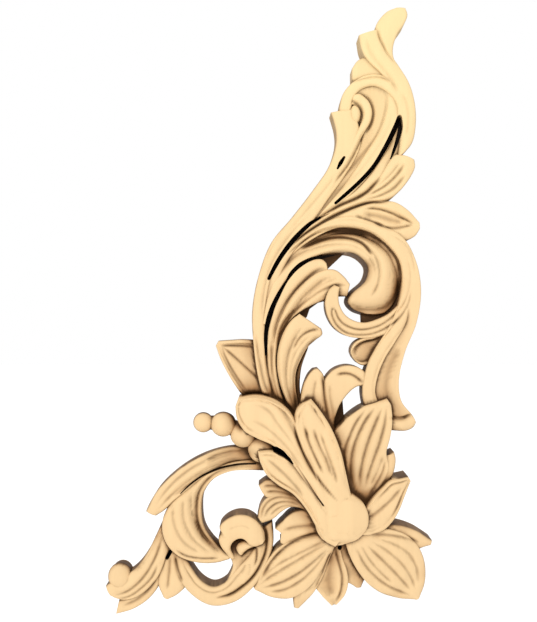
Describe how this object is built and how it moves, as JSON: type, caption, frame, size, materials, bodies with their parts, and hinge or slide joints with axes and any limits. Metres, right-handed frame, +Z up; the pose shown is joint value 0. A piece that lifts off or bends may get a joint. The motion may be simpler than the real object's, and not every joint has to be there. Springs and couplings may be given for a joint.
{
  "type": "carved corner applique",
  "caption": "Flat-backed pierced wood carving of scrolling acanthus leaves rising from an open flower, fixed to furniture, doors or frames as a corner ornament.",
  "frame": {"origin": "on the flat back, behind the cup of the flower at the corner", "axes": "+Z up along the tall arm, +X towards the flower's right-hand petals, the carved front faces -Y and the flat back +Y"},
  "size_m": [0.1588, 0.0264, 0.2958],
  "materials": {
    "wood": "sanded bare pale wood"
  },
  "bodies": {
    "root": {"applique": "wood"}
  },
  "joints": []
}
